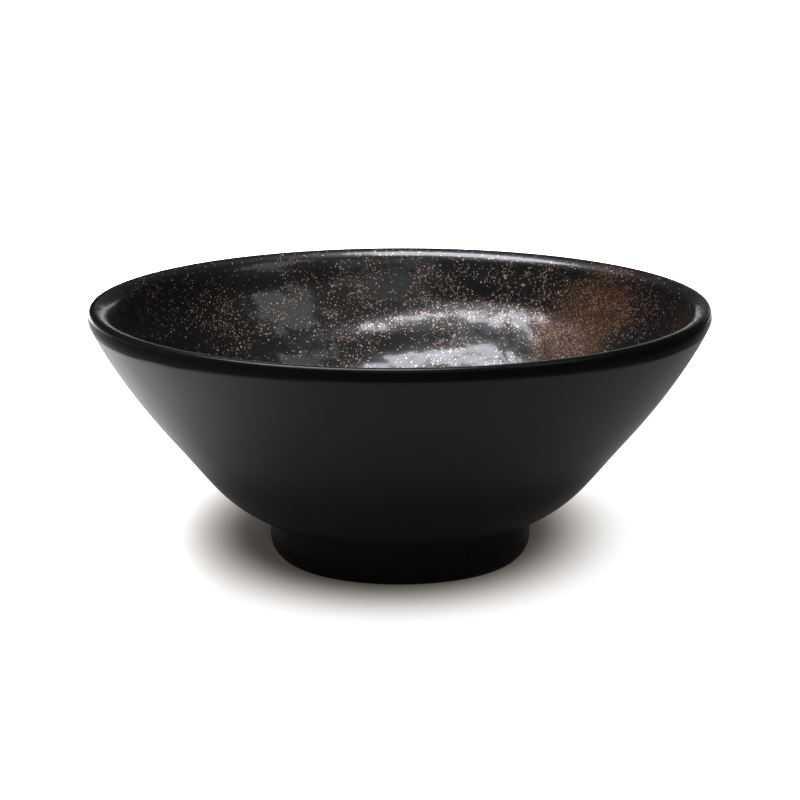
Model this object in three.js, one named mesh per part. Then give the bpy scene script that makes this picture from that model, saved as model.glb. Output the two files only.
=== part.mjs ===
// Melamine noodle bowl, moulded in one piece: a rounded lip, a curved flare and a low foot ring.
// Millimetres, +Z up. The origin is the middle of the foot's underside, on the table.
import * as THREE from 'three';

// Rim and lip
const rimDiameter = 200;
const bowlHeight = 84;
const lipRise = 3.8;            // from the widest line up to the crest
const lipOuterRound = 1.9;      // from the crest out to the widest line
const lipSquareness = 3;        // 2 makes the lip's outside an ellipse, more makes it squarer
const lipInnerRound = 5.3;      // radius of the lip's inner side
const lipTurn = 52;             // how far the inner side turns down before the crease, in degrees
const lipStep = 0.2;            // how far the lip stands out from the wall below it
const lipEdge = 0.6;            // from the widest line down to the wall

// Wall, as it shows outside: from the foot to the waist, then from the waist to the rim.
// Angles are measured from the upright. A reach is how far a curve keeps near its end's direction.
const waistRadius = 74;
const waistHeight = 42.5;
const waistFlare = 41.4;
const waistReachDown = 21;
const waistReachUp = 18;
const footFlare = 66;
const footReach = 17.9;
const rimFlare = 24.4;
const rimReach = 9.7;
const wallThickness = 4;
const lipBlend = 15;            // height over which the wall thickens up to the lip

// Floor and foot
const floorBend = 60;           // radius of the bend from the wall to the flat of the floor
const baseThickness = 4.5;
const footDiameter = 84;
const footHeight = 14.2;
const footEdge = 9;             // rounding of the foot's outer bottom edge
const footRest = 3.6;           // width of the flat ring that stands on the table
const footInnerEdge = 1.5;
const recessDraft = 5;          // lean of the recess's side, in degrees
const recessFillet = 2;
const cornerFillet = 1.2;       // where the wall meets the foot

// Soft ripples inside, as a potter's fingers leave them
const rippleDepth = 0.3;
const ripplePitch = 16;
const rippleStart = 6.5;        // how far into a ring's wave the inside begins, at the crease
const rippleFade = 14;          // length over which they rise from nothing, at the lip and at the floor
const slowWander = 1.5;         // how far the wave drifts twice a turn, in radians
const slowWanderStart = 0.8;
const quickWander = 0.8;        // how far it drifts five times a turn, in radians
const swellShare = 0.4;         // share of the depth that comes and goes three times a turn

// How finely the round shapes are cut
const turns = 56;
const wallSteps = 11;
const roundSteps = 6;
const filletSteps = 3;

const rimRadius = rimDiameter / 2;
const footRadius = footDiameter / 2;
const crestRadius = rimRadius - lipOuterRound;
const widestHeight = bowlHeight - lipRise;

const point = (radius, height) => new THREE.Vector2(radius, height);
const radians = THREE.MathUtils.degToRad;

// A step from a point, at an angle from the upright.
function along(start, degrees, distance) {
  const lean = radians(degrees);
  return point(start.x + distance * Math.sin(lean), start.y + distance * Math.cos(lean));
}

// Points of an elliptical arc. Degrees turn from outwards, 0, to upwards, 90.
// A squareness over 2 makes its corner fuller.
function arc(centre, radiusOut, radiusUp, from, to, steps, squareness = 2) {
  const fuller = (share) => Math.sign(share) * Math.abs(share) ** (2 / squareness);
  return Array.from({ length: steps + 1 }, (unused, i) => {
    const turn = radians(from + (to - from) * i / steps);
    return point(centre.x + radiusOut * fuller(Math.cos(turn)), centre.y + radiusUp * fuller(Math.sin(turn)));
  });
}

// The lip: up from the widest line, over the crest, and down its inner side to the crease.
const lip = [
  ...arc(point(crestRadius, widestHeight), lipOuterRound, lipRise, 0, 90, roundSteps, lipSquareness),
  ...arc(point(crestRadius, bowlHeight - lipInnerRound), lipInnerRound, lipInnerRound,
    90, 90 + lipTurn, roundSteps).slice(1),
];
const crease = lip.at(-1);

// The outside of the wall: two curves that share the waist's direction.
const wallFoot = point(footRadius, footHeight);
const waist = point(waistRadius, waistHeight);
const wallTop = point(rimRadius - lipStep, widestHeight - lipEdge);
const lowerWall = new THREE.CubicBezierCurve(
  wallFoot,
  along(wallFoot, footFlare, footReach),
  along(waist, waistFlare, -waistReachDown),
  waist,
);
const upperWall = new THREE.CubicBezierCurve(
  waist,
  along(waist, waistFlare, waistReachUp),
  along(wallTop, rimFlare, -rimReach),
  wallTop,
);

// The wall's stations, each with its point and its inward direction, from the foot to the rim.
function stations(curve, first) {
  return Array.from({ length: wallSteps + 1 - first }, (unused, i) => {
    const t = (i + first) / wallSteps;
    const forward = curve.getTangent(t);
    return { outside: curve.getPoint(t), inward: point(-forward.y, forward.x) };
  });
}
const wall = [...stations(lowerWall, 0), ...stations(upperWall, 1)];

// Inside of the wall: the outside moved in by the wall's thickness, which grows to the lip's width.
const lipWidth = (wallTop.x - crease.x) / Math.cos(radians(rimFlare));
const insideWall = wall.map(({ outside, inward }) => {
  const rise = THREE.MathUtils.smoothstep(outside.y, wallTop.y - lipBlend, wallTop.y);
  const thickness = wallThickness + (lipWidth - wallThickness) * rise;
  return outside.clone().addScaledVector(inward, thickness);
}).filter((inside) => inside.y < crease.y).reverse();

// Floor: it bends from the wall's direction to level, and then is flat to the middle.
const floorStart = insideWall.at(-1);
const bendDegrees = 90 - footFlare;
const floorHeight = floorStart.y - floorBend * (1 - Math.cos(radians(bendDegrees)));
const floorFlat = floorStart.x - floorBend * Math.sin(radians(bendDegrees));
const floor = arc(point(floorFlat, floorHeight + floorBend), floorBend, floorBend,
  bendDegrees - 90, -90, roundSteps).slice(1);

// Recess under the floor, and the foot ring around it.
const recessHeight = floorHeight - baseThickness;
const restOuter = footRadius - footEdge;
const restInner = restOuter - footRest;
const recessMouth = restInner - footInnerEdge;
const recessTop = recessMouth - recessHeight * Math.tan(radians(recessDraft));
const recess = [
  point(0, recessHeight),
  ...arc(point(recessTop - recessFillet, recessHeight - recessFillet), recessFillet, recessFillet,
    90, recessDraft, filletSteps),
];
const foot = [
  ...arc(point(restInner, footInnerEdge), footInnerEdge, footInnerEdge, 180 + recessDraft, 270, filletSteps),
  ...arc(point(restOuter, footEdge), footEdge, footEdge, -90, 0, roundSteps),
];

// The corner between foot and wall is filled by a small round.
const cornerLow = along(wallFoot, 0, -cornerFillet);
const cornerHigh = along(wallFoot, footFlare, cornerFillet);
const corner = new THREE.QuadraticBezierCurve(cornerLow, wallFoot, cornerHigh).getPoints(filletSteps);

const outsideWall = wall.slice(1).map((station) => station.outside);
const rippled = [...insideWall, ...floor];
const beforeRipples = [...recess, ...foot, ...corner, ...outsideWall, ...lip];
const profile = [...beforeRipples, ...rippled, point(0, floorHeight)];

// Length along the inside, from the lip's crease down to each rippled point.
const pathLength = [];
rippled.forEach((here, i) => {
  const before = i ? rippled[i - 1] : crease;
  pathLength.push((i ? pathLength[i - 1] : 0) + here.distanceTo(before));
});
const rippledLength = pathLength.at(-1);

// Ripple height: rings a pitch apart that wander and swell as they go round. The turn starts at the +Y side.
function ripple(turn, path) {
  const wander = slowWander * Math.sin(2 * turn + slowWanderStart) + quickWander * Math.sin(5 * turn);
  const swell = 1 - swellShare + swellShare * Math.sin(3 * turn + path / ripplePitch);
  const fade = THREE.MathUtils.smoothstep(path, 0, rippleFade)
    * THREE.MathUtils.smoothstep(rippledLength - path, 0, rippleFade);
  return rippleDepth * fade * swell * Math.sin(2 * Math.PI * (path + rippleStart) / ripplePitch + wander);
}

// Turns the profile into the bowl, and raises the ripples on its inside.
function bowlShape() {
  const shape = new THREE.LatheGeometry(profile, turns);
  const places = shape.getAttribute('position');
  for (let slice = 0; slice <= turns; slice += 1) {
    const turn = Math.PI - 2 * Math.PI * (slice % turns) / turns;
    rippled.forEach((here, i) => {
      const vertex = slice * profile.length + beforeRipples.length + i;
      places.setY(vertex, here.y + ripple(turn, pathLength[i]));
    });
  }
  shape.rotateX(Math.PI / 2);
  shape.computeVertexNormals();
  return shape;
}

const blackMelamine = new THREE.MeshStandardMaterial({ color: 0x1c1b1b, roughness: 0.42, metalness: 0 });
const bowl = new THREE.Mesh(bowlShape(), blackMelamine);
bowl.name = 'bowl';

const model = new THREE.Group();
model.add(bowl);

export default model;
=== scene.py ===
import math

import bpy
import numpy as np
from bpy.props import FloatProperty, FloatVectorProperty, IntProperty, PointerProperty
from mathutils import Matrix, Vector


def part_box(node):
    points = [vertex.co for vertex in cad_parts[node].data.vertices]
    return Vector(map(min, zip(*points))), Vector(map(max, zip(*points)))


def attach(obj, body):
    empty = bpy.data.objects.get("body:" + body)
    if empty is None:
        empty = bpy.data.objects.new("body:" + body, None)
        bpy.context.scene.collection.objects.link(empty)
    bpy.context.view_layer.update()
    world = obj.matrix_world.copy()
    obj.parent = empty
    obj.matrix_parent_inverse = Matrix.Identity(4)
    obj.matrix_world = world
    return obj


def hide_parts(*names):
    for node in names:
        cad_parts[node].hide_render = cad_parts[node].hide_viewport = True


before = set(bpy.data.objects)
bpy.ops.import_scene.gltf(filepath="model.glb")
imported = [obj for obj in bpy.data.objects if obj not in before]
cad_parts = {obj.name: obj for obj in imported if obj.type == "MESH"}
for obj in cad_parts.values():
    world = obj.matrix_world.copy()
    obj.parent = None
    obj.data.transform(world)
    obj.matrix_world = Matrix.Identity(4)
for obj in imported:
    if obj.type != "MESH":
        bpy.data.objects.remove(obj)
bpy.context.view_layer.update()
CAD_LOW, CAD_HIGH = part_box("bowl")

bl_info = {
    "name": "Flecked Melamine Bowl",
    "version": (1, 0, 0),
    "blender": (4, 5, 0),
    "location": "3D View > Sidebar > Bowl",
    "description": "Builds a black melamine bowl with a copper-flecked inside, and a pale studio around it",
    "category": "Add Mesh",
}

MM = 0.001

# The section: points on each stretch, steps where they lie evenly, and how many fillets away from the
# foot's corner the wall's own points start.
WALL_POINTS = 46
FLOOR_POINTS = 24
FILLET_POINTS = 7
FOOT_POINTS = 15
LIP_POINTS = 19
LIP_INNER_POINTS = 15
INSIDE_STEP = 0.9 * MM
FLOOR_STEP = 2 * MM
UNDERSIDE_STEP = 2.5 * MM
CORNER_CLEARANCE = 1.5

# The rings inside: how far, in radians, a ring's wave drifts twice and five times a turn, and the share of
# its height that comes and goes three times a turn.
SLOW_WANDER = 1.5
SLOW_WANDER_START = 0.8
QUICK_WANDER = 0.8
SWELL_SHARE = 0.4

# Sets of waves: the shortest and longest in metres, how many, and the seed of their directions and phases.
DIMPLE_WAVES = (12 * MM, 30 * MM, 18, 11)
PUCKER_WAVES = (4.5 * MM, 9 * MM, 24, 12)
SATIN_WAVES = (20 * MM, 60 * MM, 8, 3)
DRIFT_WAVES = (5 * MM, 26 * MM, 18, 5)
DUST_WAVES = (6 * MM, 22 * MM, 14, 8)

# Where the finishes meet, and how softly.
GLAZE_AT_CREST = 0.4            # share of the gloss on the lip's crest
FLECKS_AT_CREST = 0.35          # share of the flecks there
SATIN_WOBBLE = 0.25 * MM        # how far the lower edge of the lip's satin strays
SATIN_SOFTNESS = 0.5 * MM       # half the width of that edge
# The skin also dims the wall's reflection towards the foot: painted shade, besides a smoother skin there.
SKIN_FULL = 10 * MM             # how far under the crest the wall's skin has its full effect

# How thickly the flecks and the dust lie.
FLECKS_BETWEEN = 0.15           # flecks between the drifts
FLECKS_MOST = 1.2               # past 1 only more large flecks and hairlines show
DRIFT_CONTRAST = 0.7            # how strongly waves break up the drifts
DUST_CONTRAST = 0.4             # and the dust
DUST_FROM = 0.12                # dust thinner than this doesn't show
DUST_FULL = 0.8

# Kinds of flecks: their spacing and largest radius in mm, and how far their pattern is moved, in metres, so
# that no two kinds fall together.
SMALL_FLECKS = (0.8, 0.29, 0.0)
LARGE_FLECKS = (1.5, 0.4, 0.37)
DUST_FLECKS = (0.62, 0.27, 0.71)
LARGE_SHARE = 0.5               # share of a drift's cells with a large fleck, against the small ones
DUST_SHARE = 0.8                # share of the cells with a dust fleck, where the dust is full
SMALLEST_FLECK = 0.55           # radius of the smallest of a kind, against the largest
FLECK_EDGE = 0.09               # width of a fleck's soft edge, in mm
FLECK_METAL = 0.5               # how metallic a fleck is under the clear layer

# The matt skin: sizes of its patterns in mm, and the height of its grain in metres.
MELAMINE_IOR = 1.6
GRAIN_SIZE = 0.35
GRAIN_HEIGHT = 0.02 * MM
CLOUD_SIZE = 28
CLOUD_SWING = 0.03              # how much the clouds change the roughness

# The gloss: sizes of its hairlines and wrinkles in mm, and the wrinkles' height in metres.
STRAND_BEND = 3.2               # size of a hairline's bends
STRAND_CORE = 0.003             # how near its middle value the noise is on the line, and where the line ends
STRAND_EDGE = 0.012
STRAND_PATCH = 2.4              # size of the patches that have hairlines
STRAND_RARITY = 1.62            # a patch shows where its noise and the drift add up to more than this
STRAND_SHARPNESS = 12.0
WRINKLE_SIZE = 5.5
WRINKLE_HEIGHT = 0.3 * MM

# The table's glow, in metres, with a painted shade round the foot that no lamp casts. The painted shade is
# an oval round its centre, in which lengths along the view count less: the distances where it is deepest,
# where it lifts, where it ends, and where its painted warm tone ends.
SHADE_CENTRE = (-0.003, 0.04)
SHADE_SQUEEZE = 0.66            # what a length along the view counts for
SHADE_DEEPEST = 0.028
SHADE_LIFTS = 0.046
SHADE_ENDS = 0.082
WARM_ENDS = 0.080
WARM_WHITE = "#FFF4E9"
TABLE_GREY = 0.15

# Where the further painted glow, brighter patches of the table that stand in for light, starts to rise and
# where
# it is full, in metres: for the front away from the bowl and at the same time along Y, for the left along X,
# and for the far parts away from the bowl.
FRONT_REACH = (0.10, 0.22)
FRONT_SIDE = (0.05, -0.1)
LEFT_REACH = (-0.05, -0.18)
FAR_REACH = (0.24, 0.42)


def linear(hex_colour):
    """Turns an sRGB hex colour into linear red, green and blue, by the two branches of the sRGB curve."""
    parts = np.array([int(hex_colour[i:i + 2], 16) for i in (1, 3, 5)]) / 255
    low = parts / 12.92
    high = ((parts + 0.055) / 1.055) ** 2.4
    return tuple(float(v) for v in np.where(parts <= 0.04045, low, high))


def length(name, description, millimetres):
    """A length that a user can set, with its default in millimetres."""
    return FloatProperty(name=name, description=description, default=millimetres * MM, unit="LENGTH",
                         precision=5)


def angle(name, description, degrees):
    """An angle that a user can set, with its default in degrees."""
    return FloatProperty(name=name, description=description, default=math.radians(degrees), subtype="ANGLE")


def colour(name, description, hex_colour):
    """A colour that a user can set, with its default as sRGB hex."""
    return FloatVectorProperty(name=name, description=description, default=linear(hex_colour),
                               subtype="COLOR", size=3, min=0, max=1)


def share(name, description, value):
    """A value from 0 to 1 that a user can set."""
    return FloatProperty(name=name, description=description, default=value, min=0, max=1, subtype="FACTOR")


def strength(name, description, value):
    """A brightness from 0 up that a user can set."""
    return FloatProperty(name=name, description=description, default=value, min=0)


class BowlSizes(bpy.types.PropertyGroup):
    rim_diameter: FloatProperty(name="Rim diameter", description="Across the widest line, under the lip",
                                default=CAD_HIGH.x - CAD_LOW.x, unit="LENGTH", precision=5)
    height: FloatProperty(name="Height", description="From the table to the lip's crest",
                          default=CAD_HIGH.z - CAD_LOW.z, unit="LENGTH", precision=5)
    lip_rise: length("Lip rise", "From the lip's widest line up to the crest", 3.8)
    lip_outer: length("Lip outer round", "From the crest out to the widest line", 1.9)
    lip_square: FloatProperty(name="Lip squareness", default=3.0, min=2,
                              description="2 makes the lip's outside an ellipse, more a box")
    lip_inner: length("Lip inner round", "Radius of the lip's inner side", 5.3)
    lip_turn: angle("Lip turn", "How far the inner side turns down before the crease", 52)
    lip_step: length("Lip step", "How far the lip stands out from the wall below it", 0.2)
    lip_edge: length("Lip edge", "From the lip's widest line down to the wall", 0.6)
    # Below the skin start the reflection fades towards the foot as painted shade; the skin there is also
    # smoother.
    skin_start: length("Skin start", "Height from which the outside grows rougher and reflects more", 30)
    satin_edge: length("Satin edge", "From the crest down to where the lip's satin ends, outside", 4.0)
    satin_sway: length("Satin sway", "How much lower the satin ends at the two sides", 3.0)
    glaze_start: length("Glaze start", "From the crest in to where the gloss is full", 1.4)
    glaze_over: length("Glaze over", "How far the gloss reaches down outside the crest", 1.7)
    waist_radius: length("Waist radius", "Radius of the wall where its two curves meet", 74)
    waist_height: length("Waist height", "Height of the wall where its two curves meet", 42.5)
    waist_flare: angle("Waist flare", "Lean of the wall at the waist, from the upright", 41.4)
    waist_down: length("Reach below the waist", "How far the lower curve keeps the waist's lean", 21)
    waist_up: length("Reach above the waist", "How far the upper curve keeps the waist's lean", 18)
    rim_flare: angle("Rim flare", "Lean of the wall under the lip, from the upright", 24.4)
    foot_flare: angle("Foot flare", "Lean of the wall where it leaves the foot, from the upright", 66)
    foot_reach: length("Reach at the foot", "How far the wall keeps the foot's lean", 17.9)
    rim_reach: length("Reach at the rim", "How far the wall keeps the rim's lean", 9.7)
    wall: length("Wall thickness", "Thickness of the wall below the lip", 4)
    lip_blend: length("Lip blend", "Height over which the wall thickens up to the lip", 15)
    floor_bend: length("Floor bend", "Radius of the bend from the wall to the floor", 60)
    base: length("Base thickness", "Thickness of the floor over the recess", 4.5)
    foot_diameter: length("Foot diameter", "Across the foot ring", 84)
    foot_height: length("Foot height", "From the table to the corner under the wall", 14.2)
    foot_edge: length("Foot edge", "Rounding of the foot's outer bottom edge", 9)
    foot_rest: length("Foot rest", "Width of the flat ring that stands on the table", 3.6)
    foot_inner_edge: length("Foot inner edge", "Rounding of the foot's inner bottom edge", 1.5)
    recess_draft: angle("Recess draft", "Lean of the recess's side", 5)
    recess_fillet: length("Recess fillet", "Rounding where the recess's side meets its top", 2)
    corner_fillet: length("Corner fillet", "Rounding where the wall meets the foot", 1.2)
    ripple_depth: length("Ripple depth", "Height of the rings that the fingers leave inside", 0.3)
    ripple_pitch: length("Ripple pitch", "Distance between two rings", 16)
    ripple_start: length("Ripple start", "How far into a ring's wave the inside begins, at the crease", 6.5)
    ripple_fade: length("Ripple fade", "Length over which the rings rise from nothing", 14)
    dimple_depth: length("Dimple depth", "Height of the broad, shallow dimples inside", 0.12)
    pucker_depth: length("Pucker depth", "Height of the finer unevenness on them", 0.1)
    turns: IntProperty(name="Turns", description="Columns of the mesh round the bowl", default=328, min=24)


class BowlFinish(bpy.types.PropertyGroup):
    matt_black: colour("Matt black", "Colour of the outside", "#101010")
    gloss_black: colour("Gloss black", "Colour of the glossy inside and of the lip", "#0A0A0A")
    dust_brown: colour("Dust brown", "Colour of the finest copper dust between the flecks", "#3C2819")
    copper: colour("Copper", "Colour of the brighter flecks", "#F8E0CA")
    dark_copper: colour("Dark copper", "Colour of the duller flecks", "#C4906F")
    matt_roughness: share("Matt roughness", "Roughness of the outside", 0.46)
    foot_roughness: share("Foot roughness", "Roughness at the foot", 0.34)
    matt_reflection: share("Matt reflection", "Specular level of the outside", 0.033)
    # The foot's far lower reflection is painted shade.
    foot_reflection: share("Foot reflection", "Specular level at the foot", 0.002)
    lip_reflection: share("Lip reflection", "Specular level of the lip's outside", 0.001)
    glaze_reflection: share("Glaze reflection", "Share of the clear surface's reflection", 0.75)
    lip_roughness: share("Lip roughness", "Roughness of the lip", 0.3)
    gloss_roughness: share("Gloss roughness", "Roughness of the inside's clear surface", 0.14)
    haze_roughness: share("Haze roughness", "Roughness of the dusty layer under it", 0.4)
    haze_reflection: share("Haze reflection", "Specular level of the dusty layer", 0.45)


class StudioSettings(bpy.types.PropertyGroup):
    camera_distance: length("Camera distance", "Level distance from the bowl's axis to the camera", 1300)
    camera_height: length("Camera height", "Height of the camera over the table", 343.1)
    camera_pitch: angle("Camera pitch", "How far the camera looks down", 12.605)
    camera_roll: angle("Camera roll", "Turn of the picture about its middle", -0.115)
    lens: FloatProperty(name="Lens", description="Focal length in millimetres for a 36 mm wide picture",
                        default=185.86, min=10)
    table_front: length("Table front", "From the bowl's axis to the near edge of the white table", 275)
    table_back: length("Table back", "From the bowl's axis to the table's far edge", 1600)
    table_left: length("Table left", "From the bowl's axis to the table's left edge", 700)
    table_right: length("Table right", "From the bowl's axis to the table's right edge", 340)
    room: strength("Room light", "Strength of the even light of the room", 0.02)
    # The table's glow is painted light: the shade at the foot and the further brightness in front, on the
    # left and far away are painted into it, not cast by lamps.
    table_glow: strength("Table glow", "Brightness of the lit table round the bowl", 0.95)
    shade_glow: strength("Shade glow", "Brightness of the table in the shade at the foot", 0.05)
    front_glow: strength("Front glow", "Further share of brightness in front", 2.0)
    left_glow: strength("Left glow", "Further share of brightness on the left", 4.0)
    far_glow: strength("Far glow", "Further share of brightness far from the bowl", 2.5)


def bezier(start, after, before, end, count):
    """Points of a cubic Bezier curve: the four control points weighted by the Bernstein polynomials of t,
    for t from 0 to 1. Also the curve's unit direction at each."""
    t = np.linspace(0, 1, count)[:, None]
    s = 1 - t
    points = s ** 3 * start + 3 * s * s * t * after + 3 * s * t * t * before + t ** 3 * end
    run = s * s * (after - start) + 2 * s * t * (before - after) + t * t * (end - before)
    return points, run / np.linalg.norm(run, axis=1)[:, None]


def arc(centre, out, up, start, stop, count, square=2.0):
    """Points of an elliptical arc: the centre plus the cosine of the angle times out and its sine times up.
    Angles turn from outwards, 0, to upwards, 90 degrees. The cosine and the sine are raised to the power of
    2 over square, so the arc gets squarer above 2."""
    turn = np.linspace(math.radians(start), math.radians(stop), count)
    across, rise = (np.sign(v) * np.abs(v) ** (2 / square) for v in (np.cos(turn), np.sin(turn)))
    return np.stack([centre[0] + out * across, centre[1] + up * rise], 1)


def along(start, lean, distance):
    """The point a distance away from start, at a lean from the upright."""
    return np.array(start) + distance * np.array([math.sin(lean), math.cos(lean)])


def smooth(value, low, high):
    """Rises from 0 at low to 1 at high as 3 x squared less 2 x cubed."""
    x = np.clip((value - low) / (high - low), 0, 1)
    return x * x * (3 - 2 * x)


def wall_curves(s):
    """The outside of the wall: a curve from the foot to the waist and one from the waist to the rim."""
    foot = np.array([s.foot_diameter / 2, s.foot_height])
    waist = np.array([s.waist_radius, s.waist_height])
    rim = np.array([s.rim_diameter / 2 - s.lip_step, s.height - s.lip_rise - s.lip_edge])
    low, low_run = bezier(foot, along(foot, s.foot_flare, s.foot_reach),
                          along(waist, s.waist_flare, -s.waist_down), waist, WALL_POINTS)
    high, high_run = bezier(waist, along(waist, s.waist_flare, s.waist_up),
                            along(rim, s.rim_flare, -s.rim_reach), rim, WALL_POINTS)
    return np.vstack([low, high[1:]]), np.vstack([low_run, high_run[1:]])


def lip_crease(s):
    """Where the lip's inner side ends: the inner round turned down by the lip's turn from the crest."""
    crest = s.rim_diameter / 2 - s.lip_outer
    drop = s.lip_inner * (1 - math.cos(s.lip_turn))
    return np.array([crest - s.lip_inner * math.sin(s.lip_turn), s.height - drop])


def inner_wall(s, outside, run):
    """The inside of the wall, from the lip's crease down: the outside moved in along its normal by the
    wall's thickness, which grows to the lip's width just under the lip."""
    crease = lip_crease(s)
    top = outside[-1]
    lip_width = (top[0] - crease[0]) / math.cos(s.rim_flare)
    rise = smooth(outside[:, 1], top[1] - s.lip_blend, top[1])
    thickness = s.wall + (lip_width - s.wall) * rise
    inward = np.stack([-run[:, 1], run[:, 0]], 1)
    inside = outside + inward * thickness[:, None]
    return inside[inside[:, 1] < crease[1]][::-1]


def even(points, step):
    """Points laid again along the same line, about a step apart, by linear interpolation on its length."""
    gaps = np.linalg.norm(np.diff(points, axis=0), axis=1)
    path = np.concatenate([[0], np.cumsum(gaps)])
    there = np.linspace(0, path[-1], max(2, round(path[-1] / step) + 1))
    return np.stack([np.interp(there, path, points[:, 0]), np.interp(there, path, points[:, 1])], 1)


def floor_line(s, inside):
    """The floor's bend, an arc from the wall's direction to level, and the height of its flat."""
    bend = math.radians(90) - s.foot_flare
    height = inside[-1, 1] - s.floor_bend * (1 - math.cos(bend))
    flat = inside[-1, 0] - s.floor_bend * math.sin(bend)
    line = arc((flat, height + s.floor_bend), s.floor_bend, s.floor_bend,
               math.degrees(bend) - 90, -90, FLOOR_POINTS)
    return line, height


def underside_line(s, recess_height):
    """From the middle of the underside out: the recess with its leaning side, and the foot ring between two
    rounded edges."""
    rest_outer = s.foot_diameter / 2 - s.foot_edge
    rest_inner = rest_outer - s.foot_rest
    mouth = rest_inner - s.foot_inner_edge
    draft = math.degrees(s.recess_draft)
    fillet = s.recess_fillet
    top = mouth - recess_height * math.tan(s.recess_draft)
    return np.vstack([
        even(np.array([[0, recess_height], [top - fillet, recess_height]]), UNDERSIDE_STEP),
        arc((top - fillet, recess_height - fillet), fillet, fillet, 90, draft, FILLET_POINTS)[1:],
        arc((rest_inner, s.foot_inner_edge), s.foot_inner_edge, s.foot_inner_edge, 180 + draft, 270,
            FILLET_POINTS),
        arc((rest_outer, s.foot_edge), s.foot_edge, s.foot_edge, -90, 0, FOOT_POINTS),
    ])


def lip_line(s):
    """Over the lip: a squarish quarter from its widest line to its crest, then its round to the crease."""
    crest = s.rim_diameter / 2 - s.lip_outer
    return np.vstack([
        arc((crest, s.height - s.lip_rise), s.lip_outer, s.lip_rise, 0, 90, LIP_POINTS, s.lip_square),
        arc((crest, s.height - s.lip_inner), s.lip_inner, s.lip_inner, 90, 90 + math.degrees(s.lip_turn),
            LIP_INNER_POINTS)[1:],
    ])


def bowl_profile(s):
    """The bowl's section, radius and height, from the middle of the underside out, up the outside, over the
    lip and down the inside to the middle of the floor. Also the rows where its stretches start, counted
    without the first point, which is a pole."""
    outside, run = wall_curves(s)
    inside = inner_wall(s, outside, run)
    bend, floor_height = floor_line(s, inside)
    foot_corner = np.array([s.foot_diameter / 2, s.foot_height])
    corner = bezier(along(foot_corner, 0, -s.corner_fillet), foot_corner, foot_corner,
                    along(foot_corner, s.foot_flare, s.corner_fillet), FILLET_POINTS)[0]
    above = np.linalg.norm(outside - foot_corner, axis=1) > s.corner_fillet * CORNER_CLEARANCE
    lip = lip_line(s)
    inner = even(np.vstack([lip[-1], inside, bend[1:]]), INSIDE_STEP)[1:]
    floor = even(np.array([bend[-1], [0.0, floor_height]]), FLOOR_STEP)[1:]
    stretches = [underside_line(s, floor_height - s.base), corner, outside[above], lip, inner, floor]
    ends = np.cumsum([len(stretch) for stretch in stretches]) - 1
    starts = {"outside": ends[0], "lip": ends[2], "crest": ends[2] + LIP_POINTS - 1,
              "inside": ends[3], "floor": ends[4]}
    return np.vstack(stretches), starts


def ring_ripples(s, path, turn, whole):
    """Rings a pitch apart along the inside: a sine of the path, whose phase wanders and whose height swells
    with the turn, faded in under the lip and out at the flat of the floor."""
    wander = SLOW_WANDER * np.sin(2 * turn + SLOW_WANDER_START) + QUICK_WANDER * np.sin(5 * turn)
    swell = 1 - SWELL_SHARE + SWELL_SHARE * np.sin(3 * turn + path / s.ripple_pitch)
    fade = smooth(path, 0, s.ripple_fade) * smooth(whole - path, 0, s.ripple_fade)
    phase = 2 * np.pi * (path + s.ripple_start) / s.ripple_pitch + wander
    return s.ripple_depth * fade * swell * np.sin(phase)


def waves(points, shortest, longest, count, seed):
    """A field of soft bumps between about -1 and 1: a sum of plane sine waves with seeded directions and
    phases, and with lengths spread evenly in proportion between shortest and longest."""
    rng = np.random.default_rng(seed)
    total = np.zeros(points.shape[:-1])
    for wavelength in np.geomspace(shortest, longest, count):
        direction = rng.normal(size=3)
        direction /= np.linalg.norm(direction)
        total += np.sin(points @ direction * (2 * np.pi / wavelength) + rng.uniform(0, 2 * np.pi))
    return total / math.sqrt(count / 2) / 2


# Drifts of flecks inside: turn from the far side in degrees, positive to the right, height in mm, half width
# in degrees, half height in mm, how dense they are, and how much brown dust lies between them.
FLECK_DRIFTS = (
    (-62, 79, 6, 6, 0.25, 0.12),
    (-50, 76, 9, 12, 0.30, 0.0),
    (-43, 66, 8, 9, 0.85, 0.03),
    (-36, 59, 8, 7, 0.60, 0.03),
    (-18, 66, 9, 18, 0.75, 0.04),
    (0, 66, 13, 18, 0.85, 0.0),
    (16, 66, 12, 16, 0.70, 0.0),
    (30, 70, 10, 16, 0.95, 0.1),
    (38, 62, 6, 10, 0.60, 0.5),
    (44, 60, 8, 9, 0.90, 0.8),
    (49, 71, 8, 15, 1.2, 1.1),
    (64, 74, 8, 12, 0.60, 0.3),
    (100, 60, 16, 12, 0.6, 0.1),
    (135, 50, 20, 14, 1.0, 0.5),
    (172, 62, 14, 12, 0.8, 0.1),
    (-100, 64, 18, 12, 0.5, 0.0),
    (-128, 52, 14, 14, 1.0, 0.4),
    (-160, 58, 14, 14, 0.7, 0.1),
    (20, 35, 26, 12, 0.7, 0.2),
    (-70, 32, 24, 10, 0.7, 0.1),
    (160, 28, 30, 10, 0.7, 0.1),
)


def fleck_fields(points, turn):
    """How thickly the flecks lie, 0 to 1.2, and how much brown dust, 0 to 1: soft elliptical drifts, each a
    Gaussian of turn and height, are added up and then broken up by waves."""
    height = points[..., 2] / MM
    degrees = np.degrees(turn)
    total = np.full(turn.shape, FLECKS_BETWEEN)
    dust = np.zeros(turn.shape)
    for centre, level, half_width, half_height, density, brown in FLECK_DRIFTS:
        aside = (degrees - centre + 180) % 360 - 180
        drift = np.exp(-(aside / half_width) ** 2 - ((height - level) / half_height) ** 2)
        total += density * drift
        dust += brown * drift
    cloud = 1 + DRIFT_CONTRAST * waves(points, *DRIFT_WAVES)
    thin = 1 + DUST_CONTRAST * waves(points, *DUST_WAVES)
    return np.clip(total * cloud, 0, FLECKS_MOST), smooth(dust * thin, DUST_FROM, DUST_FULL)


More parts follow.
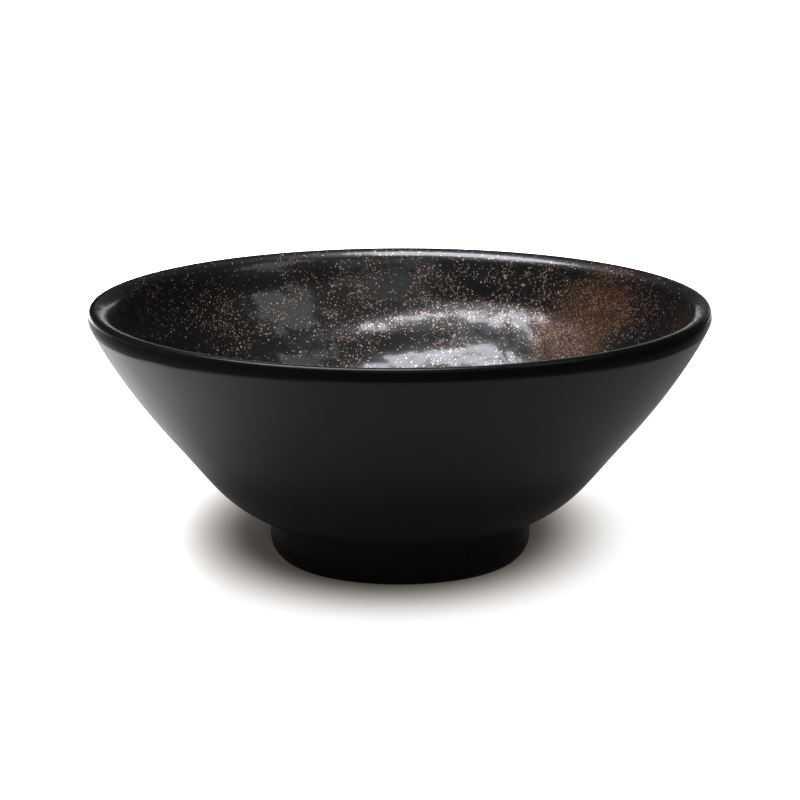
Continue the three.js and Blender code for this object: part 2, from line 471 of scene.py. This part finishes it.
def turned(rows, turn):
    """Rows of radius and height carried round the upright axis: radius times the sine of the turn, radius
    times its cosine, and height, so turn 0 is the far side."""
    radial = np.stack([np.sin(turn), np.cos(turn)], 1)
    flat = rows[:, None, 0:1] * radial[None]
    level = np.broadcast_to(rows[:, None, 1:2], flat.shape[:2] + (1,))
    return np.concatenate([flat, level], 2)


def raised_points(s, section, starts, path, turn):
    """The section turned about the axis, without its poles, and with the inside moved along its normal by
    the rings and by two sets of waves. The normal is square to the section's central differences."""
    run = np.gradient(section, axis=0)
    run /= np.linalg.norm(run, axis=1)[:, None]
    outward = np.stack([run[:, 1], -run[:, 0]], 1)
    points = turned(section[1:-1], turn)
    normals = turned(outward[1:-1], turn)
    crease = path[starts["inside"] - 1]
    from_crease = path - crease
    rings = ring_ripples(s, from_crease[:, None], turn[None], path[starts["floor"] - 1] - crease)
    fade = smooth(from_crease, 0, s.ripple_fade)[:, None]
    dimples = fade * (s.dimple_depth * waves(points, *DIMPLE_WAVES)
                      + s.pucker_depth * waves(points, *PUCKER_WAVES))
    is_inside = (np.arange(len(points)) >= starts["inside"])[:, None]
    lift = np.where(is_inside, rings + dimples, 0)
    return points + normals * lift[..., None]


def closed_faces(rows, columns):
    """Quads between neighbouring rows and a fan of triangles at either pole, all facing outwards. The first
    vertex is the pole of the underside and the last one the pole of the floor."""
    grid = 1 + np.arange(rows * columns).reshape(rows, columns)
    beside = np.roll(grid, -1, axis=1)
    quads = np.stack([grid[:-1], grid[1:], beside[1:], beside[:-1]], 2).reshape(-1, 4)
    low_fan = np.stack([np.zeros(columns, int), grid[0], beside[0]], 1)
    high_fan = np.stack([np.full(columns, rows * columns + 1), beside[-1], grid[-1]], 1)
    return quads.tolist() + low_fan.tolist() + high_fan.tolist()


def finish_layers(s, points, path, turn, starts):
    """Where each finish lies, as a value for every point: the satin of the lip, the skin of the wall, which
    also sets how far its reflection is dimmed towards the foot as painted shade, the gloss from the crest
    inwards, the flecks and the dust."""
    height = points[..., 2]
    row = np.arange(len(points))[:, None]
    wobble = SATIN_WOBBLE * waves(points, *SATIN_WAVES)
    edge = s.height - s.satin_edge - s.satin_sway * np.sin(turn)[None] ** 2 + wobble
    below_lip = smooth(height, edge - SATIN_SOFTNESS, edge + SATIN_SOFTNESS)
    satin = np.where(row >= starts["lip"], 1.0, below_lip)
    satin = np.where(row < starts["outside"], 0.0, satin)
    skin = smooth(height, s.skin_start, s.height - SKIN_FULL)
    from_crest = (path - path[starts["crest"]])[:, None]
    glaze_inside = GLAZE_AT_CREST + (1 - GLAZE_AT_CREST) * smooth(from_crest, 0, s.glaze_start)
    glaze_outside = GLAZE_AT_CREST * smooth(height, s.height - s.glaze_over, s.height)
    glaze = np.where(row >= starts["crest"], glaze_inside, glaze_outside)
    density, dust = fleck_fields(points, np.broadcast_to(turn, height.shape))
    over_lip = smooth(from_crest, 0, s.lip_inner)
    density = density * (FLECKS_AT_CREST + (1 - FLECKS_AT_CREST) * over_lip)
    return {"satin": satin, "skin": skin, "glaze": glaze, "flecks": density, "dust": dust}


def bowl_mesh(s):
    """The bowl's surface as one closed mesh, from the turned and raised section, with its finishes as
    attributes and the glossy material from the lip's crest inwards. A pole takes its neighbouring row's
    mean. The path is the length along the section from its first point to each row."""
    section, starts = bowl_profile(s)
    turn = np.linspace(-np.pi, np.pi, s.turns, endpoint=False)
    path = np.cumsum(np.linalg.norm(np.diff(section, axis=0), axis=1))[:-1]
    points = raised_points(s, section, starts, path, turn)
    poles = [np.array([[0, 0, section[end, 1]]]) for end in (0, -1)]
    vertices = np.vstack([poles[0], points.reshape(-1, 3), poles[1]])
    mesh = bpy.data.meshes.new("moulded_bowl")
    mesh.from_pydata(vertices.tolist(), [], closed_faces(len(points), s.turns))
    for name, values in finish_layers(s, points, path, turn, starts).items():
        layer = mesh.attributes.new(name, "FLOAT", "POINT")
        full = np.concatenate([[values[0].mean()], values.ravel(), [values[-1].mean()]])
        layer.data.foreach_set("value", full.astype(np.float32))
    glossy = np.repeat(np.arange(len(points) - 1) >= starts["crest"], s.turns)
    slots = np.concatenate([glossy, np.zeros(s.turns, bool), np.ones(s.turns, bool)]).astype(np.int32)
    mesh.polygons.foreach_set("material_index", slots)
    mesh.polygons.foreach_set("use_smooth", np.ones(len(slots), bool))
    mesh.update()
    mesh.validate()
    return mesh


def add_node(tree, kind, inputs=None, links=None, **settings):
    """Adds one node: settings are its own properties, inputs its values by name or number, and links its
    sources."""
    node = tree.nodes.new(kind)
    for name, value in settings.items():
        setattr(node, name, value)
    for name, value in (inputs or {}).items():
        node.inputs[name].default_value = value
    for name, source in (links or {}).items():
        tree.links.new(source, node.inputs[name])
    return node


def new_material(name):
    """An empty node material with its output node."""
    material = bpy.data.materials.new(name)
    material.use_nodes = True
    tree = material.node_tree
    tree.nodes.clear()
    output = tree.nodes.new("ShaderNodeOutputMaterial")
    return material, tree, output


def per_metre(millimetres):
    """A texture's scale for features of that size, on Object coordinates in metres."""
    return 1 / (millimetres * MM)


def satin_matt_melamine(look):
    """Black melamine pressed in a matted steel mould: an even, dull skin with a fine grain that spreads
    every reflection, a little smoother towards the foot, where its reflection is also dimmed almost to
    nothing as painted shade, and a satin band round the lip. The real grain is finer than the picture's
    pixels, so it is drawn about as coarse as they are."""
    material, tree, output = new_material("satin_matt_melamine")
    coords = add_node(tree, "ShaderNodeTexCoord").outputs["Object"]
    satin, skin, glaze = (add_node(tree, "ShaderNodeAttribute", attribute_name=name).outputs["Fac"]
                          for name in ("satin", "skin", "glaze"))
    grain = add_node(tree, "ShaderNodeTexNoise",
                     {"Scale": per_metre(GRAIN_SIZE), "Detail": 3.0, "Roughness": 0.6}, {"Vector": coords})
    cloud = add_node(tree, "ShaderNodeTexNoise", {"Scale": per_metre(CLOUD_SIZE), "Detail": 2.0},
                     {"Vector": coords})
    smoother = add_node(tree, "ShaderNodeMapRange",
                        {"To Min": look.foot_roughness, "To Max": look.matt_roughness}, {"Value": skin})
    uneven = add_node(tree, "ShaderNodeMapRange",
                      {"From Min": 0.3, "From Max": 0.7, "To Min": -CLOUD_SWING, "To Max": CLOUD_SWING},
                      {"Value": cloud.outputs["Fac"]})
    rough = add_node(tree, "ShaderNodeMath", None,
                     {0: smoother.outputs["Result"], 1: uneven.outputs["Result"]}, operation="ADD")
    rough_mix = add_node(tree, "ShaderNodeMix", {"B": look.lip_roughness},
                         {"Factor": satin, "A": rough.outputs["Value"]}, data_type="FLOAT")
    # The wall's reflection falls towards the foot: painted shade, darkening the lower wall where shade falls
    # under the bowl.
    painted_foot_shade_level = add_node(tree, "ShaderNodeMapRange",
                      {"To Min": look.foot_reflection, "To Max": look.matt_reflection}, {"Value": skin})
    lip_level = add_node(tree, "ShaderNodeMix", {"B": look.lip_reflection},
                         {"Factor": satin, "A": painted_foot_shade_level.outputs["Result"]}, data_type="FLOAT")
    level = add_node(tree, "ShaderNodeMix", {"B": look.glaze_reflection},
                     {"Factor": glaze, "A": lip_level.outputs["Result"]}, data_type="FLOAT")
    tint = add_node(tree, "ShaderNodeMix", {"A": (*look.matt_black, 1), "B": (*look.gloss_black, 1)},
                    {"Factor": satin}, data_type="RGBA")
    bump = add_node(tree, "ShaderNodeBump", {"Strength": 0.25, "Distance": GRAIN_HEIGHT},
                    {"Height": grain.outputs["Fac"]})
    shader = add_node(tree, "ShaderNodeBsdfPrincipled", {"IOR": MELAMINE_IOR},
                      {"Base Color": tint.outputs["Result"], "Specular IOR Level": level.outputs["Result"],
                       "Roughness": rough_mix.outputs["Result"], "Normal": bump.outputs["Normal"]})
    tree.links.new(shader.outputs["BSDF"], output.inputs["Surface"])
    return material


def fleck_layer(tree, coords, density, spacing, size, moved):
    """Round flecks on a scattered grid: a cell shows its fleck where its first random number is under the
    density, and its second one sets the radius. Returns the flecks' mask and the cells' third random number,
    for their colour."""
    shifted = add_node(tree, "ShaderNodeVectorMath", {1: (moved, moved * 2, moved * 3)}, {0: coords},
                       operation="ADD")
    cells = add_node(tree, "ShaderNodeTexVoronoi", {"Scale": per_metre(spacing), "Randomness": 1.0},
                     {"Vector": shifted.outputs["Vector"]}, feature="F1")
    random = add_node(tree, "ShaderNodeSeparateColor", None, {"Color": cells.outputs["Color"]})
    radius = add_node(tree, "ShaderNodeMapRange",
                      {"To Min": size * SMALLEST_FLECK / spacing, "To Max": size / spacing},
                      {"Value": random.outputs["Green"]})
    inside = add_node(tree, "ShaderNodeMath", None,
                      {0: radius.outputs["Result"], 1: cells.outputs["Distance"]}, operation="SUBTRACT")
    soft = add_node(tree, "ShaderNodeMath", {1: spacing / FLECK_EDGE}, {0: inside.outputs["Value"]},
                    operation="MULTIPLY", use_clamp=True)
    chosen = add_node(tree, "ShaderNodeMath", None, {0: random.outputs["Red"], 1: density},
                      operation="LESS_THAN")
    mask = add_node(tree, "ShaderNodeMath", None, {0: soft.outputs["Value"], 1: chosen.outputs["Value"]},
                    operation="MULTIPLY")
    return mask.outputs["Value"], random.outputs["Blue"]


def strand_layer(tree, coords, density):
    """Short curled hairlines of copper: the line where a fine noise crosses its middle value, kept only
    where a second noise and the drift are high."""
    bends = add_node(tree, "ShaderNodeTexNoise",
                     {"Scale": per_metre(STRAND_BEND), "Detail": 1.5, "Distortion": 0.6}, {"Vector": coords})
    off = add_node(tree, "ShaderNodeMath", {1: 0.5}, {0: bends.outputs["Fac"]}, operation="SUBTRACT")
    near = add_node(tree, "ShaderNodeMath", None, {0: off.outputs["Value"]}, operation="ABSOLUTE")
    line = add_node(tree, "ShaderNodeMapRange",
                    {"From Min": STRAND_CORE, "From Max": STRAND_EDGE, "To Min": 1.0, "To Max": 0.0},
                    {"Value": near.outputs["Value"]})
    patches = add_node(tree, "ShaderNodeTexNoise", {"Scale": per_metre(STRAND_PATCH), "Detail": 0.0},
                       {"Vector": coords})
    limit = add_node(tree, "ShaderNodeMath", {0: STRAND_RARITY}, {1: density}, operation="SUBTRACT")
    part = add_node(tree, "ShaderNodeMath", None, {0: patches.outputs["Fac"], 1: limit.outputs["Value"]},
                    operation="SUBTRACT")
    shown = add_node(tree, "ShaderNodeMath", {1: STRAND_SHARPNESS}, {0: part.outputs["Value"]},
                     operation="MULTIPLY", use_clamp=True)
    mask = add_node(tree, "ShaderNodeMath", None, {0: line.outputs["Result"], 1: shown.outputs["Value"]},
                    operation="MULTIPLY")
    return mask.outputs["Value"]


def flecked_gloss_melamine(look):
    """Black melamine under a polished clear layer with copper flake in it: a gloss with soft edges over a
    hazy sheen, round flakes 0.3 to 0.8 mm across with a few hairlines in drifts, and brown dust where they
    are thickest. Flakes in thick dust are the duller ones."""
    material, tree, output = new_material("flecked_gloss_melamine")
    coords = add_node(tree, "ShaderNodeTexCoord").outputs["Object"]
    density, dust, glaze = (add_node(tree, "ShaderNodeAttribute", attribute_name=name).outputs["Fac"]
                            for name in ("flecks", "dust", "glaze"))
    flakes, chance = fleck_layer(tree, coords, density, *SMALL_FLECKS)
    thin = add_node(tree, "ShaderNodeMath", {1: LARGE_SHARE}, {0: density}, operation="MULTIPLY")
    large = fleck_layer(tree, coords, thin.outputs["Value"], *LARGE_FLECKS)[0]
    thick = add_node(tree, "ShaderNodeMath", {1: DUST_SHARE}, {0: dust}, operation="MULTIPLY")
    fine = fleck_layer(tree, coords, thick.outputs["Value"], *DUST_FLECKS)[0]
    for kind in (large, fine, strand_layer(tree, coords, density)):
        joined = add_node(tree, "ShaderNodeMath", None, {0: flakes, 1: kind}, operation="MAXIMUM")
        flakes = joined.outputs["Value"]
    ground = add_node(tree, "ShaderNodeMix", {"A": (*look.gloss_black, 1), "B": (*look.dust_brown, 1)},
                      {"Factor": dust}, data_type="RGBA")
    free = add_node(tree, "ShaderNodeMath", {0: 1.0}, {1: dust}, operation="SUBTRACT")
    bright = add_node(tree, "ShaderNodeMath", None, {0: chance, 1: free.outputs["Value"]},
                      operation="MULTIPLY")
    metal = add_node(tree, "ShaderNodeMix", {"A": (*look.dark_copper, 1), "B": (*look.copper, 1)},
                     {"Factor": bright.outputs["Value"]}, data_type="RGBA")
    base = add_node(tree, "ShaderNodeMix", None,
                    {"Factor": flakes, "A": ground.outputs["Result"], "B": metal.outputs["Result"]},
                    data_type="RGBA")
    shine = add_node(tree, "ShaderNodeMath", {1: FLECK_METAL}, {0: flakes}, operation="MULTIPLY")
    haze = add_node(tree, "ShaderNodeMath", {1: look.haze_reflection}, {0: glaze}, operation="MULTIPLY")
    clear = add_node(tree, "ShaderNodeMath", {1: look.glaze_reflection}, {0: glaze}, operation="MULTIPLY")
    clear_rough = add_node(tree, "ShaderNodeMapRange",
                           {"From Min": GLAZE_AT_CREST, "To Min": look.lip_roughness,
                            "To Max": look.gloss_roughness}, {"Value": glaze})
    wrinkles = add_node(tree, "ShaderNodeTexNoise", {"Scale": per_metre(WRINKLE_SIZE), "Detail": 3.0},
                        {"Vector": coords})
    bump = add_node(tree, "ShaderNodeBump", {"Strength": 0.7, "Distance": WRINKLE_HEIGHT},
                    {"Height": wrinkles.outputs["Fac"]})
    shader = add_node(tree, "ShaderNodeBsdfPrincipled",
                      {"IOR": MELAMINE_IOR, "Roughness": look.haze_roughness, "Coat IOR": MELAMINE_IOR},
                      {"Base Color": base.outputs["Result"], "Metallic": shine.outputs["Value"],
                       "Specular IOR Level": haze.outputs["Value"], "Coat Weight": clear.outputs["Value"],
                       "Coat Roughness": clear_rough.outputs["Result"],
                       "Coat Normal": bump.outputs["Normal"]})
    tree.links.new(shader.outputs["BSDF"], output.inputs["Surface"])
    return material


class BOWL_OT_mould_bowl(bpy.types.Operator):
    """Moulds the bowl and gives it its matt and glossy finishes"""
    bl_idname = "bowl.mould_bowl"
    bl_label = "Mould the bowl"

    def execute(self, context):
        scene = context.scene
        mesh = bowl_mesh(scene.bowl_sizes)
        mesh.materials.append(satin_matt_melamine(scene.bowl_finish))
        mesh.materials.append(flecked_gloss_melamine(scene.bowl_finish))
        bowl = bpy.data.objects.new("moulded_bowl", mesh)
        scene.collection.objects.link(bowl)
        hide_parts("bowl")
        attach(bowl, "root")
        return {"FINISHED"}


def glowing_table_with_painted_shade(studio):
    """White film over a table that glows by itself, though it is no lamp: a soft, warm shade painted into
    its glow lies round the foot and reaches further at the back, and past it the table glows white, with
    painted brighter glow far away, in front and to the left. Each change is a smooth rise along a distance,
    and the ground's glow is multiplied by one plus the further shares."""
    material, tree, output = new_material("white_table_painted_glow_and_shade")
    coords = add_node(tree, "ShaderNodeTexCoord").outputs["Object"]
    centred = add_node(tree, "ShaderNodeVectorMath", {1: (-SHADE_CENTRE[0], -SHADE_CENTRE[1], 0)},
                       {0: coords}, operation="ADD")
    squeezed = add_node(tree, "ShaderNodeVectorMath", {1: (1, SHADE_SQUEEZE, 1)},
                        {0: centred.outputs["Vector"]}, operation="MULTIPLY")
    oval = add_node(tree, "ShaderNodeVectorMath", None, {0: squeezed.outputs["Vector"]},
                    operation="LENGTH").outputs["Value"]
    radius = add_node(tree, "ShaderNodeVectorMath", None, {0: coords}, operation="LENGTH").outputs["Value"]
    place = add_node(tree, "ShaderNodeSeparateXYZ", None, {"Vector": coords}).outputs
    values = {}
    # Painted shade round the foot, and painted brighter glow in front, to the left and far away.
    for name, source, low, high, top in (
            ("shade", oval, SHADE_DEEPEST, SHADE_LIFTS, studio.shade_glow),
            ("white", oval, SHADE_LIFTS, SHADE_ENDS, studio.table_glow),
            ("neutral", oval, SHADE_LIFTS, WARM_ENDS, 1.0),
            ("away", radius, *FRONT_REACH, studio.front_glow),
            ("forward", place["Y"], *FRONT_SIDE, 1.0),
            ("left", place["X"], *LEFT_REACH, studio.left_glow),
            ("far", radius, *FAR_REACH, studio.far_glow)):
        rise = add_node(tree, "ShaderNodeMapRange", {"From Min": low, "From Max": high, "To Max": top},
                        {"Value": source}, interpolation_type="SMOOTHSTEP")
        values[name] = rise.outputs["Result"]
    for name, first, second, operation in (
            ("ground", "shade", "white", "ADD"),
            ("front", "away", "forward", "MULTIPLY"),
            ("sides", "front", "left", "ADD"),
            ("further", "sides", "far", "ADD")):
        pair = add_node(tree, "ShaderNodeMath", None, {0: values[first], 1: values[second]},
                        operation=operation)
        values[name] = pair.outputs["Value"]
    whole = add_node(tree, "ShaderNodeMath", {1: 1.0}, {0: values["further"]}, operation="ADD")
    glow = add_node(tree, "ShaderNodeMath", None, {0: values["ground"], 1: whole.outputs["Value"]},
                    operation="MULTIPLY")
    # The painted shade's warm tone, fading to white where the painted shade ends.
    tone = add_node(tree, "ShaderNodeMix", {"A": (*linear(WARM_WHITE), 1), "B": (1, 1, 1, 1)},
                    {"Factor": values["neutral"]}, data_type="RGBA")
    shader = add_node(tree, "ShaderNodeBsdfPrincipled",
                      {"Base Color": (TABLE_GREY, TABLE_GREY, TABLE_GREY, 1), "Roughness": 0.9,
                       "Specular IOR Level": 0.1},
                      {"Emission Color": tone.outputs["Result"], "Emission Strength": glow.outputs["Value"]})
    tree.links.new(shader.outputs["BSDF"], output.inputs["Surface"])
    return material


# Soft boxes: name, place in metres, tilt from facing down and turn in degrees, width and depth in metres,
# radiance against the white of the picture, and colour.
SOFT_BOXES = (
    ("overhead_left", -0.32, 0.09, 1.25, 0, 0, 0.94, 0.72, 8.8, "#F4F6FF"),
    ("front_left", -0.62, -0.48, 1.09, 37, -52, 0.6, 0.3, 1.2, "#F4F6FF"),
    ("right", 0.87, -0.44, 0.90, 49, 63, 0.48, 0.66, 1.0, "#FFFFFF"),
    ("front", 0.15, -1.0, 0.78, 52, 0, 0.9, 0.45, 0.5, "#FFFFFF"),
    ("back", 0.35, 2.0, 0.17, 85, 170, 1.1, 0.34, 0.85, "#FFFFFF"),
)


def soft_box(scene, name, x, y, z, tilt, turn, width, depth, radiance, hex_colour):
    """A rectangular area light. Its power is its radiance times pi times its area."""
    light = bpy.data.lights.new(name, "AREA")
    light.shape = "RECTANGLE"
    light.size = width
    light.size_y = depth
    light.energy = radiance * math.pi * width * depth
    light.color = linear(hex_colour)
    lamp = bpy.data.objects.new(name, light)
    lamp.location = (x, y, z)
    lamp.rotation_euler = (math.radians(tilt), 0, math.radians(turn))
    scene.collection.objects.link(lamp)


def studio_camera(scene, studio):
    """The camera in front of the bowl, looking down at the pitch, with a long lens."""
    camera = bpy.data.cameras.new("studio_camera")
    camera.sensor_width = 36
    camera.lens = studio.lens
    camera.clip_end = 50
    holder = bpy.data.objects.new("studio_camera", camera)
    place = Matrix.Translation((0, -studio.camera_distance, studio.camera_height))
    look = Matrix.Rotation(math.radians(90) - studio.camera_pitch, 4, "X")
    holder.matrix_world = place @ look @ Matrix.Rotation(studio.camera_roll, 4, "Z")
    scene.collection.objects.link(holder)
    scene.camera = holder


class BOWL_OT_set_studio(bpy.types.Operator):
    """Lays the white table and sets the lights and the camera"""
    bl_idname = "bowl.set_studio"
    bl_label = "Set the studio"

    def execute(self, context):
        scene = context.scene
        studio = scene.bowl_studio
        left, right = -studio.table_left, studio.table_right
        near, far = -studio.table_front, studio.table_back
        corners = [(left, near, 0), (right, near, 0), (right, far, 0), (left, far, 0)]
        mesh = bpy.data.meshes.new("white_table")
        mesh.from_pydata(corners, [], [(0, 1, 2, 3)])
        mesh.materials.append(glowing_table_with_painted_shade(studio))
        table = bpy.data.objects.new("white_table", mesh)
        scene.collection.objects.link(table)
        for box in SOFT_BOXES:
            soft_box(scene, *box)
        world = bpy.data.worlds.new("pale_room")
        world.use_nodes = True
        back = world.node_tree.nodes["Background"]
        back.inputs["Color"].default_value = (1, 1, 1, 1)
        back.inputs["Strength"].default_value = studio.room
        scene.world = world
        scene.view_settings.view_transform = "Standard"
        studio_camera(scene, studio)
        return {"FINISHED"}


class BOWL_PT_sidebar(bpy.types.Panel):
    """Sizes, finishes and studio of the bowl"""
    bl_idname = "BOWL_PT_sidebar"
    bl_label = "Flecked melamine bowl"
    bl_space_type = "VIEW_3D"
    bl_region_type = "UI"
    bl_category = "Bowl"

    def draw(self, context):
        scene = context.scene
        for title, group in (("Sizes", scene.bowl_sizes), ("Finish", scene.bowl_finish),
                             ("Studio", scene.bowl_studio)):
            box = self.layout.box()
            box.label(text=title)
            for name in group.bl_rna.properties.keys():
                if name not in ("rna_type", "name"):
                    box.prop(group, name)
        self.layout.operator(BOWL_OT_mould_bowl.bl_idname)
        self.layout.operator(BOWL_OT_set_studio.bl_idname)


CLASSES = (BowlSizes, BowlFinish, StudioSettings, BOWL_OT_mould_bowl, BOWL_OT_set_studio, BOWL_PT_sidebar)


def register():
    for item in CLASSES:
        bpy.utils.register_class(item)
    bpy.types.Scene.bowl_sizes = PointerProperty(type=BowlSizes)
    bpy.types.Scene.bowl_finish = PointerProperty(type=BowlFinish)
    bpy.types.Scene.bowl_studio = PointerProperty(type=StudioSettings)


def unregister():
    del bpy.types.Scene.bowl_studio
    del bpy.types.Scene.bowl_finish
    del bpy.types.Scene.bowl_sizes
    for item in reversed(CLASSES):
        bpy.utils.unregister_class(item)


def main():
    register()
    bpy.ops.bowl.set_studio()
    bpy.ops.bowl.mould_bowl()


if __name__ == "__main__":
    main()
